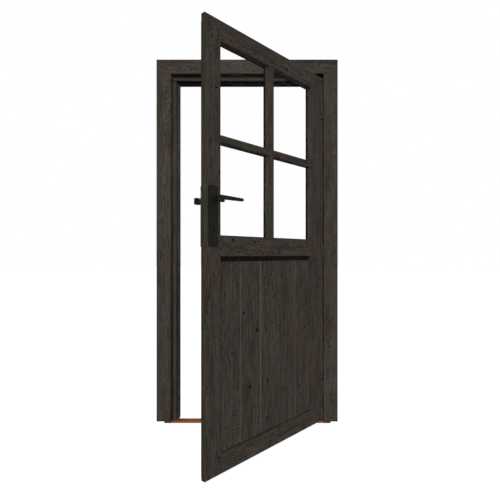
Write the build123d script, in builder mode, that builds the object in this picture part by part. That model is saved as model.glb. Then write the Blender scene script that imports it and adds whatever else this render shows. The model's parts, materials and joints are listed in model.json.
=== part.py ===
from build123d import *

import os
from math import cos, hypot, pi

os.makedirs("parts", exist_ok=True)

# A single outward-opening stable door, half glazed and half boarded, in its rebated frame.
# Millimetres. X runs along the wall, Y into the wall and Z up. The origin is the middle of
# the sill's underside. The leaf is drawn shut and then hung at its open angle.

# Frame
rebate_width = 844.0
rebate_height = 1935.5
stop_width = 19.5
second_stop_width = 8.0
jamb_face = 68.0
jamb_depth = 95.0
rebate_depth = 31.0
second_rebate_depth = 34.0
casing_width = 78.0
casing_thickness = 20.0
casing_lift = 16.0
sill_thickness = 10.0
sill_depth = 42.0
arris = 1.5

# Leaf
open_angle = 50.0
lip_gap = 11.5
leaf_bottom = 12.0
leaf_thickness = 44.0
lip_thickness = 21.5
lip_seat = 1.5
body_gap = 9.0
stile_width = 86.0
top_rail_width = 85.0
bottom_rail_width = 85.0
mid_rail_bottom = 930.0
mid_rail_width = 89.0
cross_bar_bottom = 1410.0
bar_width = 32.0
bar_web = 12.0
tenon_thickness = 12.0
tenon_shoulder = 14.0

# Glass and beads
glass_thickness = 4.0
glass_setback = 28.0
glass_clearance = 2.0
bead_chamfer = 4.0

# Boards
board_count = 5
board_thickness = 16.0
board_setback = 12.0
board_v = 4.0
board_tongue = 6.0
board_tongue_thickness = 5.0
groove_depth = 10.0
end_play = 1.0
head_tongue_thickness = 6.0
shadow_gap = 23.0

# Hinges
hinge_count = 3
hinge_height = 80.0
hinge_inset = 190.0
hinge_plate = 2.5
pin_radius = 2.5
pin_play = 0.05
knuckle_play = 0.25
knuckle_front_gap = 0.5

# Lock
backset = 25.0
spindle_height = 1165.0
key_drop = 122.0
keyhole_radius = 4.0
keyhole_slot = 3.0
keyhole_length = 13.0
key_way = 12.0
case_wall = 1.3
case_play = 0.2
case_top = 40.0
case_bottom = 148.0
faceplate_width = 20.0
faceplate_thickness = 3.0
faceplate_overhang = 18.0
latch_throw = 13.5
latch_travel = 13.2
latch_height = 24.0
latch_rise = 10.0
bolt_thickness = 12.0
bolt_height = 28.0
bolt_drop = 92.0
bolt_throw = 20.0
slide_play = 0.15
cam_half = 3.5
cam_height = 22.0
cam_gap = 1.0
lug_width = 6.0
lug_low = 12.0
strike_thickness = 2.0
strike_width = 24.0
strike_margin = 22.0

# Handles
plate_width = 45.0
plate_height = 253.5
plate_above = 58.0
plate_thickness = 8.0
plate_edge = 1.5
plate_corner = 3.0
neck_radius = 9.0
neck_play = 0.05
boss_radius = 13.0
boss_height = 4.0
lever_reach = 62.0
lever_thickness = 14.0
lever_length = 122.0
lever_hub = 14.7
lever_hub_corner = 5.0
lever_tip = 6.65
lever_fall = 3.0
lever_edge = 2.5
grip_drop = 3.4
spindle_side = 8.0
turn_play = 0.05

# Fastenings, drawn with flat sides
screw_head = 4.0
screw_shank = 2.0
screw_cone = 1.9
screw_rim = 0.3
screw_sides = 6
nail_radius = 1.2
plate_bolt_radius = 2.5
plate_bolt_sides = 8
plate_bolt_inset = 10.0

# Places worked out from the sizes
rebate_half = rebate_width / 2
stop_half = rebate_half - stop_width
clear_half = stop_half - second_stop_width
jamb_out = clear_half + jamb_face
stop_top = rebate_height - stop_width
clear_top = stop_top - second_stop_width
head_top = clear_top + jamb_face
y_wall = -sill_depth / 2
y_casing = y_wall - casing_thickness
y_stop = y_wall + rebate_depth
y_second = y_stop + second_rebate_depth
y_back = y_wall + jamb_depth

lip_half = rebate_half - lip_gap
leaf_top = rebate_height - lip_gap
body_half = stop_half - body_gap
body_top = stop_top - body_gap
inner_half = lip_half - stile_width
y_lip = y_stop - lip_seat
y_leaf = y_lip - lip_thickness
y_leaf_back = y_leaf + leaf_thickness
y_leaf_mid = (y_leaf + y_leaf_back) / 2
y_glass = y_leaf + glass_setback
y_bead = y_glass + glass_thickness
y_board = y_leaf + board_setback
y_board_back = y_board + board_thickness
bottom_rail_top = leaf_bottom + bottom_rail_width
mid_rail_top = mid_rail_bottom + mid_rail_width
top_rail_bottom = leaf_top - top_rail_width
cross_bar_top = cross_bar_bottom + bar_width
glazing_rebate = (bar_width - bar_web) / 2
y_tenon = y_board + 2.0

knuckle_radius = lip_gap / 2 - knuckle_play
pin_x = lip_half + lip_gap / 2
pin_y = y_leaf - knuckle_front_gap - knuckle_radius
pin_axis = Axis((pin_x, pin_y, 0), (0, 0, 1))

lock_edge = -body_half
spindle_x = lock_edge + backset
tenon_length = -inner_half - spindle_x - plate_bolt_radius - 3.0
lock_y = (y_lip + y_leaf_back) / 2
lug_x = (spindle_x + cam_half + cam_gap, spindle_x + cam_half + cam_gap + lug_width)
case_thickness = bolt_thickness + 2 * (case_play + case_wall)
case_x = (lock_edge + faceplate_thickness, lug_x[1] + latch_travel + 1.0 + case_wall)
case_y = (lock_y - case_thickness / 2, lock_y + case_thickness / 2)
key_height = spindle_height - key_drop
case_z = (spindle_height - case_bottom, spindle_height + case_top)
latch_z = (spindle_height + latch_rise, spindle_height + latch_rise + latch_height)
bolt_z = (spindle_height - bolt_drop, spindle_height - bolt_drop + bolt_height)
strike_z = (bolt_z[0] - strike_margin, latch_z[1] + strike_margin)


def span(x, y, z, mode=Mode.ADD):
    """A straight-sided piece of wood or metal, or a cut, over these ranges of x, y and z."""
    with Locations(((x[0] + x[1]) / 2, (y[0] + y[1]) / 2, (z[0] + z[1]) / 2)):
        Box(abs(x[1] - x[0]), abs(y[1] - y[0]), abs(z[1] - z[0]), mode=mode)


def write(part, name):
    """Labels a finished piece and writes it."""
    part.label = name
    export_step(part, f"parts/{name}.step")


def hang(part):
    """Turns a piece of the shut leaf about the hinge pins to where the leaf stands open."""
    return part.rotate(pin_axis, open_angle)


def screws(places, direction, length):
    """Countersunk screws whose heads lie flush at the given places, driven along direction."""
    slope_width = (screw_head - screw_shank) * cos(pi / screw_sides)
    with BuildPart() as one:
        with BuildSketch():
            RegularPolygon(screw_head, screw_sides)
        extrude(amount=-(screw_rim + screw_cone))
        underside = one.faces().sort_by(Axis.Z)[0]
        chamfer(underside.edges(), slope_width, screw_cone, reference=underside)
        with BuildSketch():
            RegularPolygon(screw_shank, screw_sides)
        extrude(amount=-length)
    with BuildPart() as group:
        for place in places:
            seat = Plane(origin=place, z_dir=-Vector(direction))
            add(one.part.moved(seat.location))
    return group.part


# Fastenings of the frame, placed before the wood so that the wood can be bored for them
hinge_low = leaf_bottom + hinge_inset
hinge_high = leaf_top - hinge_inset
hinge_step = (hinge_high - hinge_low) / (hinge_count - 1)
hinge_heights = [hinge_low + i * hinge_step for i in range(hinge_count)]
screw_spread = hinge_height / 3
screw_levels = [h + k * screw_spread for h in hinge_heights for k in (-1, 0, 1)]
frame_plate_back = y_stop - 2.0
leaf_plate_back = y_lip - 0.5
frame_screw_y = (pin_y + knuckle_radius + frame_plate_back) / 2
leaf_screw_y = (y_leaf + leaf_plate_back) / 2
hinge_frame_screws = screws(
    [(rebate_half - hinge_plate, frame_screw_y, z) for z in screw_levels], (1, 0, 0), 32.0
)
hinge_leaf_screws = screws(
    [(lip_half + hinge_plate, leaf_screw_y, z) for z in screw_levels], (-1, 0, 0), 32.0
)
strike_y = (y_stop + 1.0, y_stop + 1.0 + strike_width)
strike_screws = screws(
    [
        (-stop_half, sum(strike_y) / 2, z)
        for z in (strike_z[0] + strike_margin / 2, strike_z[1] - strike_margin / 2)
    ],
    (-1, 0, 0),
    28.0,
)
frame_screws = screws(
    [
        (side * (rebate_half + jamb_out) / 2, y, head_top)
        for side in (-1, 1)
        for y in (y_wall + 12.0, y_back - 12.0)
    ],
    (0, 0, -1),
    110.0,
)

# Lost-head nails that hold the casings to the jambs and the head. They stop short of the
# hinge screws, which cross behind them.
nail_length = frame_screw_y - screw_shank - 4.0 - y_casing
nail_x = (rebate_half + jamb_out) / 2
nail_rows = [rebate_height * (i + 0.5) / 4 for i in range(4)]
nail_places = [(side * nail_x, z) for side in (-1, 1) for z in nail_rows]
nail_places += [(side * rebate_half / 2, rebate_height + casing_width / 4) for side in (-1, 1)]
with BuildPart() as casing_nails:
    with BuildSketch(Plane.XZ.offset(-y_casing)):
        with Locations(*nail_places):
            RegularPolygon(nail_radius, screw_sides)
    extrude(amount=-nail_length)

# The seals' places in the first stop
seal_width = 6.0
seal_proud = lip_seat - 0.3
seal_stem = 3.0
seal_x = (stop_half + lip_half) / 2
seal_z = (stop_top + leaf_top) / 2
seal_low = sill_thickness + 2.0
seal_turn = seal_z - seal_width / 2 - 0.5

# A jamb is one rebated section, with a stub tenon at its head and a notch for the sill
tenon_x = (rebate_half + 8.0, jamb_out - 8.0)
tenon_y = (y_wall + 26.0, y_back - 26.0)
tenon_rise = 34.0


def jamb_blank():
    """The right jamb before its hardware is let in. The left one is its mirror image."""
    with BuildPart() as blank:
        with BuildSketch() as section:
            with BuildLine():
                Polyline(
                    (jamb_out, y_wall),
                    (jamb_out, y_back),
                    (clear_half, y_back),
                    (clear_half, y_second),
                    (stop_half, y_second),
                    (stop_half, y_stop),
                    (rebate_half, y_stop),
                    (rebate_half, y_wall),
                    close=True,
                )
            make_face()
            corners = section.vertices()
            proud = [v for v in corners if v.X < stop_half - 1]
            proud += [v for v in corners if abs(v.X - stop_half) < 1 and abs(v.Y - y_stop) < 1]
            fillet(proud, arris)
        extrude(amount=clear_top)
        span(tenon_x, tenon_y, (clear_top, clear_top + tenon_rise))
        span(
            (clear_half - 1, rebate_half),
            (y_stop, y_wall + sill_depth),
            (0, sill_thickness),
            Mode.SUBTRACT,
        )
        span(
            (seal_x - seal_stem / 2, seal_x + seal_stem / 2),
            (y_stop, y_stop + seal_stem),
            (seal_low, clear_top),
            Mode.SUBTRACT,
        )
        add(casing_nails.part, mode=Mode.SUBTRACT)
        add(frame_screws, mode=Mode.SUBTRACT)
    return blank.part


with BuildPart() as jamb_right:
    add(jamb_blank())
    add(hinge_frame_screws, mode=Mode.SUBTRACT)
write(jamb_right.part, "jamb_right")

# Where the latch and the dead bolt enter the left jamb
catch_y = (lock_y - bolt_thickness / 2 - 1.5, lock_y + bolt_thickness / 2 + 1.5)
catch_depth = bolt_throw - body_gap + 6.0

with BuildPart() as jamb_left:
    add(jamb_blank().mirror(Plane.YZ))
    span(
        (-stop_half - strike_thickness, -stop_half + 1),
        strike_y,
        strike_z,
        Mode.SUBTRACT,
    )
    for low, high in (latch_z, bolt_z):
        span(
            (-stop_half - catch_depth, -stop_half),
            catch_y,
            (low - 1.5, high + 1.5),
            Mode.SUBTRACT,
        )
    add(strike_screws, mode=Mode.SUBTRACT)
write(jamb_left.part, "jamb_left")

# The head sits on the jambs, and its rebates stop against theirs
with BuildPart() as head_jamb:
    span((-jamb_out, jamb_out), (y_wall, y_back), (clear_top, head_top))
    span((-rebate_half, rebate_half), (y_wall, y_stop), (clear_top, rebate_height), Mode.SUBTRACT)
    span((-stop_half, stop_half), (y_stop, y_second), (clear_top, stop_top), Mode.SUBTRACT)
    for side in (-1, 1):
        span(
            (side * tenon_x[0], side * tenon_x[1]),
            tenon_y,
            (clear_top, clear_top + tenon_rise),
            Mode.SUBTRACT,
        )
        span(
            (side * seal_x - seal_stem / 2, side * seal_x + seal_stem / 2),
            (y_stop, y_stop + seal_stem),
            (clear_top, seal_turn),
            Mode.SUBTRACT,
        )
    span(
        (-seal_x - seal_width / 2, seal_x + seal_width / 2),
        (y_stop, y_stop + seal_stem),
        (seal_z - seal_stem / 2, seal_z + seal_stem / 2),
        Mode.SUBTRACT,
    )
    add(casing_nails.part, mode=Mode.SUBTRACT)
    add(frame_screws, mode=Mode.SUBTRACT)
write(head_jamb.part, "head_jamb")
write(frame_screws, "frame_screws")

# A hardwood strip with a rounded nose, let in under both jambs' stops
with BuildPart() as sill:
    span((-rebate_half, rebate_half), (y_wall, y_wall + sill_depth), (0, sill_thickness))
    nose = sill.edges().filter_by(Axis.X).group_by(Axis.Z)[-1].sort_by(Axis.Y)[0]
    fillet(nose, sill_thickness / 3)
write(sill.part, "sill")


def casing(width, height, centre_x, bottom):
    """A face casing board with rounded front arrises."""
    with BuildPart() as board:
        span(
            (centre_x - width / 2, centre_x + width / 2),
            (y_casing, y_wall),
            (bottom, bottom + height),
        )
        fillet(board.faces().sort_by(Axis.Y)[0].edges(), arris)
        add(casing_nails.part, mode=Mode.SUBTRACT)
    return board.part


casing_x = rebate_half + casing_width / 2
casing_height = rebate_height - casing_lift
write(casing(casing_width, casing_height, -casing_x, casing_lift), "casing_left")
write(casing(casing_width, casing_height, casing_x, casing_lift), "casing_right")
write(
    casing(rebate_width + 2 * casing_width, casing_width, 0, rebate_height), "casing_head"
)
write(casing_nails.part, "casing_nails")

# Soft seals: a flat lip that the leaf's rebate closes on, with a stem in the stop
with BuildPart() as weather_seal:
    for side in (-1, 1):
        x = side * seal_x
        span((x - seal_width / 2, x + seal_width / 2), (y_stop - seal_proud, y_stop), (seal_low, seal_turn))
        span((x - seal_stem / 2, x + seal_stem / 2), (y_stop, y_stop + seal_stem), (seal_low, seal_turn))
    span(
        (-seal_x - seal_width / 2, seal_x + seal_width / 2),
        (y_stop - seal_proud, y_stop),
        (seal_z - seal_width / 2, seal_z + seal_width / 2),
    )
    span(
        (-seal_x - seal_width / 2, seal_x + seal_width / 2),
        (y_stop, y_stop + seal_stem),
        (seal_z - seal_stem / 2, seal_z + seal_stem / 2),
    )
write(weather_seal.part, "weather_seal")

with BuildPart() as strike_plate:
    span((-stop_half - strike_thickness, -stop_half), strike_y, strike_z)
    for low, high in (latch_z, bolt_z):
        span(
            (-stop_half - strike_thickness, -stop_half),
            (catch_y[0] + 0.5, catch_y[1] - 0.5),
            (low - 1, high + 1),
            Mode.SUBTRACT,
        )
    add(strike_screws, mode=Mode.SUBTRACT)
write(strike_plate.part, "strike_plate")
write(strike_screws, "strike_screws")
write(hinge_frame_screws, "hinge_frame_screws")


# Hinges: the frame plate carries the outer two knuckles and the pin, the leaf plate the middle one
knuckle = hinge_height / 3
knuckle_gap = 0.3


def frame_plate(height):
    """The half of a hinge that is screwed to the jamb's rebate."""
    low = height - hinge_height / 2
    with BuildPart() as plate:
        span((rebate_half - hinge_plate, rebate_half), (pin_y, frame_plate_back), (low, low + hinge_height))
        with BuildSketch(Plane.XY.offset(low)):
            with Locations((pin_x, pin_y)):
                Circle(knuckle_radius)
        extrude(amount=hinge_height)
        span(
            (pin_x - 2 * knuckle_radius, rebate_half),
            (pin_y - 2 * knuckle_radius, pin_y + knuckle_radius + knuckle_gap),
            (low + knuckle - knuckle_gap, low + 2 * knuckle + knuckle_gap),
            Mode.SUBTRACT,
        )
        with Locations((pin_x, pin_y, height)):
            Cylinder(pin_radius, hinge_height, mode=Mode.SUBTRACT)
        add(hinge_frame_screws, mode=Mode.SUBTRACT)
    return plate.part


def leaf_plate(height):
    """The half of a hinge that is screwed to the edge of the leaf's lip."""
    low = height - hinge_height / 2
    clear_y = pin_y + knuckle_radius + knuckle_gap
    with BuildPart() as plate:
        span((lip_half, lip_half + hinge_plate), (clear_y, leaf_plate_back), (low, low + hinge_height))
        span((lip_half, lip_half + hinge_plate), (pin_y, clear_y), (low + knuckle, low + 2 * knuckle))
        with Locations((pin_x, pin_y, height)):
            Cylinder(knuckle_radius, knuckle)
            Cylinder(pin_radius + pin_play, knuckle, mode=Mode.SUBTRACT)
        add(hinge_leaf_screws, mode=Mode.SUBTRACT)
    return plate.part


def hinge_pin(height):
    """A fast pin through all three knuckles, riveted flush at both ends."""
    with BuildPart() as pin:
        with Locations((pin_x, pin_y, height)):
            Cylinder(pin_radius, hinge_height)
    return pin.part


for number, height in enumerate(hinge_heights, 1):
    write(frame_plate(height), f"hinge_{number}_frame_plate")
    write(hang(leaf_plate(height)), f"hinge_{number}_leaf_plate")
    write(hinge_pin(height), f"hinge_{number}_pin")
write(hang(hinge_leaf_screws), "hinge_leaf_screws")

# Fastenings and lock cuts of the leaf, placed before its wood
plate_low = spindle_height + plate_above - plate_height
plate_high = spindle_height + plate_above
plate_bolt_levels = (plate_low + plate_bolt_inset, plate_high - plate_bolt_inset)
faceplate_low = case_z[0] - faceplate_overhang
faceplate_high = case_z[1] + faceplate_overhang
lock_screws = screws(
    [(lock_edge, lock_y, z) for z in (faceplate_low + 9.0, faceplate_high - 9.0)],
    (1, 0, 0),
    backset - plate_bolt_radius - 3.0,
)

# Machine bolts run from the inner backplate into the outer one, and hold both to the stile
with BuildPart() as plate_bolts:
    for z in plate_bolt_levels:
        with BuildSketch(Plane.XZ.offset(-y_leaf_back - plate_thickness)):
            with Locations((spindle_x, z)):
                RegularPolygon(plate_bolt_radius, plate_bolt_sides)
        extrude(amount=leaf_thickness + 1.5 * plate_thickness)
        with BuildSketch(Plane.XZ.offset(-y_leaf_back - plate_thickness)):
            with Locations((spindle_x, z)):
                RegularPolygon(2 * plate_bolt_radius, plate_bolt_sides)
        extrude(amount=3.0)


def stile_blank():
    """The hinge stile before its hardware is let in. The lock stile is its mirror image."""
    with BuildPart() as blank:
        with BuildSketch(Plane.XY.offset(leaf_bottom)) as section:
            with BuildLine():
                Polyline(
                    (lip_half, y_leaf),
                    (lip_half, y_lip),
                    (body_half, y_lip),
                    (body_half, y_leaf_back),
                    (inner_half, y_leaf_back),
                    (inner_half, y_leaf),
                    close=True,
                )
            make_face()
            fillet(section.vertices().group_by(Axis.Y)[0], arris)
        extrude(amount=leaf_top - leaf_bottom)
        span((inner_half, lip_half), (y_lip, y_leaf_back), (body_top, leaf_top), Mode.SUBTRACT)
        # The glazing rebate, from the back
        span(
            (inner_half, inner_half + glazing_rebate),
            (y_glass, y_leaf_back),
            (mid_rail_top - glazing_rebate, top_rail_bottom + glazing_rebate),
            Mode.SUBTRACT,
        )
        # The groove for the boards, narrower beside their head tongues
        span(
            (inner_half, inner_half + groove_depth),
            (y_board, y_board_back),
            (bottom_rail_top - groove_depth, mid_rail_bottom - shadow_gap),
            Mode.SUBTRACT,
        )
        span(
            (inner_half, inner_half + groove_depth),
            (y_board_back - head_tongue_thickness, y_board_back),
            (mid_rail_bottom - shadow_gap, mid_rail_bottom + groove_depth),
            Mode.SUBTRACT,
        )
        for low, high in tenon_levels:
            span(
                (inner_half, inner_half + tenon_length),
                (y_tenon, y_tenon + tenon_thickness),
                (low, high),
                Mode.SUBTRACT,
            )
    return blank.part


top_tenon = (top_rail_bottom + tenon_shoulder, body_top - tenon_shoulder)
mid_tenon = (mid_rail_bottom + tenon_shoulder, mid_rail_top - tenon_shoulder)
bottom_tenon = (leaf_bottom + tenon_shoulder, bottom_rail_top - tenon_shoulder)
tenon_levels = (top_tenon, mid_tenon, bottom_tenon)

with BuildPart() as hinge_stile:
    add(stile_blank())
    add(hinge_leaf_screws, mode=Mode.SUBTRACT)
write(hang(hinge_stile.part), "hinge_stile")

with BuildPart() as lock_stile:
    add(stile_blank().mirror(Plane.YZ))
    # The mortise for the case, and the shallow bed of the faceplate
    span(case_x, case_y, case_z, Mode.SUBTRACT)
    span(
        (lock_edge, case_x[0]),
        (lock_y - faceplate_width / 2, lock_y + faceplate_width / 2),
        (faceplate_low, faceplate_high),
        Mode.SUBTRACT,
    )
    # Clearance through the stile for the spindle and the key
    with BuildSketch(Plane.XZ.offset(-y_leaf_back)):
        with Locations((spindle_x, spindle_height)):
            Circle(neck_radius + 2)
    extrude(amount=leaf_thickness, mode=Mode.SUBTRACT)
    span(
        (spindle_x - key_way / 2, spindle_x + key_way / 2),
        (y_leaf, y_leaf_back),
        (key_height - keyhole_length - key_way / 2, key_height + key_way),
        Mode.SUBTRACT,
    )
    add(lock_screws, mode=Mode.SUBTRACT)
    add(plate_bolts.part, mode=Mode.SUBTRACT)
write(hang(lock_stile.part), "lock_stile")


def rail(bottom, top, tenon, extra_cuts):
    """A rail between the stiles, with a stub tenon at each end. extra_cuts are (y, z) ranges."""
    with BuildPart() as wood:
        span((-inner_half, inner_half), (y_leaf, y_leaf_back), (bottom, top))
        span(
            (-inner_half - tenon_length, inner_half + tenon_length),
            (y_tenon, y_tenon + tenon_thickness),
            tenon,
        )
        for y, z in extra_cuts:
            span((-inner_half, inner_half), y, z, Mode.SUBTRACT)
    return wood.part


rebate_y = (y_glass, y_leaf_back)
top_rail = rail(
    top_rail_bottom,
    leaf_top,
    top_tenon,
    [
        (rebate_y, (top_rail_bottom, top_rail_bottom + glazing_rebate)),
        ((y_lip, y_leaf_back), (body_top, leaf_top)),
    ],
)
write(hang(top_rail), "top_rail")

head_tongue_y = (y_board_back - head_tongue_thickness, y_board_back)
mid_rail = rail(
    mid_rail_bottom,
    mid_rail_top,
    mid_tenon,
    [
        (rebate_y, (mid_rail_top - glazing_rebate, mid_rail_top)),
        (head_tongue_y, (mid_rail_bottom, mid_rail_bottom + groove_depth)),
    ],
)
write(hang(mid_rail), "mid_rail")

# The bottom rail's upper arris slopes to the front, to shed water from the boards
with BuildPart() as bottom_rail:
    add(
        rail(
            leaf_bottom,
            bottom_rail_top,
            bottom_tenon,
            [((y_board, y_board_back), (bottom_rail_top - groove_depth, bottom_rail_top))],
        )
    )
    front_arris = bottom_rail.faces().sort_by(Axis.Y)[0].edges().sort_by(Axis.Z)[-1]
    chamfer(front_arris, 3.0, board_setback - 3.0, reference=bottom_rail.faces().sort_by(Axis.Y)[0])
write(hang(bottom_rail.part), "bottom_rail")


def bar_section(plane, length, front_start, web_start, web_length):
    """A glazing bar: a front member and a narrower web behind it, drawn along the plane's normal."""
    with BuildPart() as bar:
        with BuildSketch(plane.offset(front_start)) as front:
            with Locations((0, (y_leaf + y_glass) / 2)):
                Rectangle(bar_width, glass_setback)
            fillet(front.vertices().group_by(Axis.Y)[0], arris)
        extrude(amount=length)
        with BuildSketch(plane.offset(web_start)):
            with Locations((0, (y_glass + y_leaf_back) / 2)):
                Rectangle(bar_web, leaf_thickness - glass_setback)
        extrude(amount=web_length)
    return bar.part


upright = bar_section(
    Plane.XY,
    top_rail_bottom - mid_rail_top,
    mid_rail_top,
    mid_rail_top - glazing_rebate,
    top_rail_bottom - mid_rail_top + 2 * glazing_rebate,
)
write(hang(upright), "upright_bar")

# The cross bars are the same section laid on its side, and butt against the upright bar
cross_z = (cross_bar_bottom + cross_bar_top) / 2


def cross_bar(side):
    """The left (side -1) or right (side 1) cross bar."""
    with BuildPart() as bar:
        span(
            (side * bar_width / 2, side * inner_half),
            (y_leaf, y_glass),
            (cross_bar_bottom, cross_bar_top),
        )
        front = bar.faces().sort_by(Axis.Y)[0]
        fillet(front.edges().filter_by(Axis.X), arris)
        span(
            (side * bar_web / 2, side * (inner_half + glazing_rebate)),
            (y_glass, y_leaf_back),
            (cross_z - bar_web / 2, cross_z + bar_web / 2),
        )
    return bar.part


write(hang(cross_bar(-1)), "cross_bar_left")
write(hang(cross_bar(1)), "cross_bar_right")


def mitred_beads(x, z):
    """Four glazing beads round the opening that spans x and z, mitred at the corners."""
    outer_x = (x[0] - glazing_rebate, x[1] + glazing_rebate)
    outer_z = (z[0] - glazing_rebate, z[1] + glazing_rebate)
    inner = [(x[0], z[0]), (x[1], z[0]), (x[1], z[1]), (x[0], z[1])]
    outer = [
        (outer_x[0], outer_z[0]),
        (outer_x[1], outer_z[0]),
        (outer_x[1], outer_z[1]),
        (outer_x[0], outer_z[1]),
    ]
    sticks = []
    for i in range(4):
        j = (i + 1) % 4
        with BuildPart() as stick:
            with BuildSketch(Plane.XZ.offset(-y_leaf_back)):
                with BuildLine():
                    Polyline(outer[i], outer[j], inner[j], inner[i], close=True)
                make_face()
            extrude(amount=y_leaf_back - y_bead)
            middle = Vector((inner[i][0] + inner[j][0]) / 2, y_leaf_back, (inner[i][1] + inner[j][1]) / 2)
            chamfer(stick.edges().sort_by_distance(middle)[0], bead_chamfer)
        sticks.append(stick.part)
    return Compound(children=sticks)


columns = {
    "left": (-inner_half, -bar_width / 2),
    "right": (bar_width / 2, inner_half),
}
rows = {
    "lower": (mid_rail_top, cross_bar_bottom),
    "upper": (cross_bar_top, top_rail_bottom),
}
cover = glazing_rebate - glass_clearance
for row, z in rows.items():
    for column, x in columns.items():
        with BuildPart() as glass:
            span(
                (x[0] - cover, x[1] + cover),
                (y_glass, y_bead),
                (z[0] - cover, z[1] + cover),
            )
        write(hang(glass.part), f"glass_{row}_{column}")
        write(hang(mitred_beads(x, z)), f"beads_{row}_{column}")

# Upright tongued-and-grooved boards with a V at each joint. They stand in grooves all round, and
# their heads are rebated to a thin tongue, which leaves a shadow gap under the middle rail.
boards_half = inner_half + groove_depth - end_play
board_width = 2 * boards_half / board_count
tongue_y = y_board + (board_thickness - board_tongue_thickness) / 2
joint_play = 0.2


def board(index):
    """One board, counted from the left. The outer two have plain outer edges."""
    left = -boards_half + index * board_width
    right = left + board_width
    has_groove = index > 0
    has_tongue = index < board_count - 1
    low = bottom_rail_top - groove_depth + end_play
    high = mid_rail_bottom + groove_depth - end_play
    with BuildPart() as wood:
        with BuildSketch(Plane.XY.offset(low)) as section:
            with Locations(((left + right) / 2, y_board + board_thickness / 2)):
                Rectangle(board_width, board_thickness)
            chamfer(section.vertices().group_by(Axis.Y)[0], board_v)
            if has_tongue:
                with Locations((right + board_tongue / 2, tongue_y + board_tongue_thickness / 2)):
                    Rectangle(board_tongue, board_tongue_thickness)
            if has_groove:
                with Locations((left + board_tongue / 2, tongue_y + board_tongue_thickness / 2)):
                    Rectangle(
                        board_tongue + joint_play,
                        board_tongue_thickness + joint_play,
                        mode=Mode.SUBTRACT,
                    )
        extrude(amount=high - low)
        span(
            (left - 1, right + board_tongue + 1),
            (y_board, head_tongue_y[0]),
            (mid_rail_bottom - shadow_gap, high),
            Mode.SUBTRACT,
        )
    return wood.part


for index in range(board_count):
    write(hang(board(index)), f"board_{index + 1}")

# The mortise lock: an open-fronted case, closed by the faceplate


def keyhole(y, depth):
    """The keyhole's shape, as a cutter from y towards the outside."""
    with BuildPart() as cutter:
        with BuildSketch(Plane.XZ.offset(-y)):
            with Locations((spindle_x, key_height)):
                Circle(keyhole_radius)
            with Locations((spindle_x, key_height - keyhole_length / 2)):
                Rectangle(keyhole_slot, keyhole_length)
        extrude(amount=depth)
    return cutter.part


with BuildPart() as lock_case:
    span(case_x, case_y, case_z)
    span(
        (case_x[0], case_x[1] - case_wall),
        (case_y[0] + case_wall, case_y[1] - case_wall),
        (case_z[0] + case_wall, case_z[1] - case_wall),
        Mode.SUBTRACT,
    )
    with BuildSketch(Plane.XZ.offset(-case_y[1])):
        with Locations((spindle_x, spindle_height)):
            Circle(neck_radius + turn_play)
    extrude(amount=case_thickness, mode=Mode.SUBTRACT)
    add(keyhole(case_y[1], case_thickness), mode=Mode.SUBTRACT)
write(hang(lock_case.part), "lock_case")

with BuildPart() as lock_faceplate:
    span(
        (lock_edge, case_x[0]),
        (lock_y - faceplate_width / 2, lock_y + faceplate_width / 2),
        (faceplate_low, faceplate_high),
    )
    for low, high in (latch_z, bolt_z):
        span(
            (lock_edge, case_x[0]),
            (lock_y - bolt_thickness / 2 - slide_play, lock_y + bolt_thickness / 2 + slide_play),
            (low - slide_play, high + slide_play),
            Mode.SUBTRACT,
        )
    add(lock_screws, mode=Mode.SUBTRACT)
write(hang(lock_faceplate.part), "lock_faceplate")
write(hang(lock_screws), "lock_screws")

# The latch: a bevelled head, a tail over the follower and a lug that the follower's cam pushes
tail_low = hypot(cam_half, cam_height) + 1.2
latch_back = lock_edge + 14.0

with BuildPart() as latch_bolt:
    with BuildSketch(Plane.XY.offset(latch_z[0])):
        with BuildLine():
            Polyline(
                (lock_edge - latch_throw, lock_y - bolt_thickness / 2),
                (latch_back, lock_y - bolt_thickness / 2),
                (latch_back, lock_y + bolt_thickness / 2),
                (lock_edge - 0.5, lock_y + bolt_thickness / 2),
                (lock_edge - latch_throw, lock_y - bolt_thickness / 4),
                close=True,
            )
        make_face()
    extrude(amount=latch_height)
    span(
        (latch_back, lug_x[1]),
        (lock_y - 4, lock_y + 4),
        (spindle_height + tail_low, latch_z[1]),
    )
    span(lug_x, (lock_y - 4, lock_y + 4), (spindle_height + lug_low, latch_z[1]))
write(hang(latch_bolt.part), "latch_bolt")

with BuildPart() as dead_bolt:
    span(
        (lock_edge, case_x[1] - case_wall - 1.0),
        (lock_y - bolt_thickness / 2, lock_y + bolt_thickness / 2),
        bolt_z,
    )
    fillet(dead_bolt.faces().sort_by(Axis.X)[0].edges().filter_by(Axis.Z), 1.5)
write(hang(dead_bolt.part), "dead_bolt")

# The follower turns in the case's sides, and its cam points up at rest
with BuildPart() as follower:
    with BuildSketch(Plane.XZ.offset(-case_y[1])):
        with Locations((spindle_x, spindle_height)):
            Circle(neck_radius)
            Rectangle(spindle_side, spindle_side, mode=Mode.SUBTRACT)
    extrude(amount=case_thickness)
    span(
        (spindle_x - cam_half, spindle_x + cam_half),
        (lock_y - 5, lock_y + 5),
        (spindle_height + neck_radius - 2, spindle_height + cam_height),
    )
write(hang(follower.part), "follower")


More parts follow.
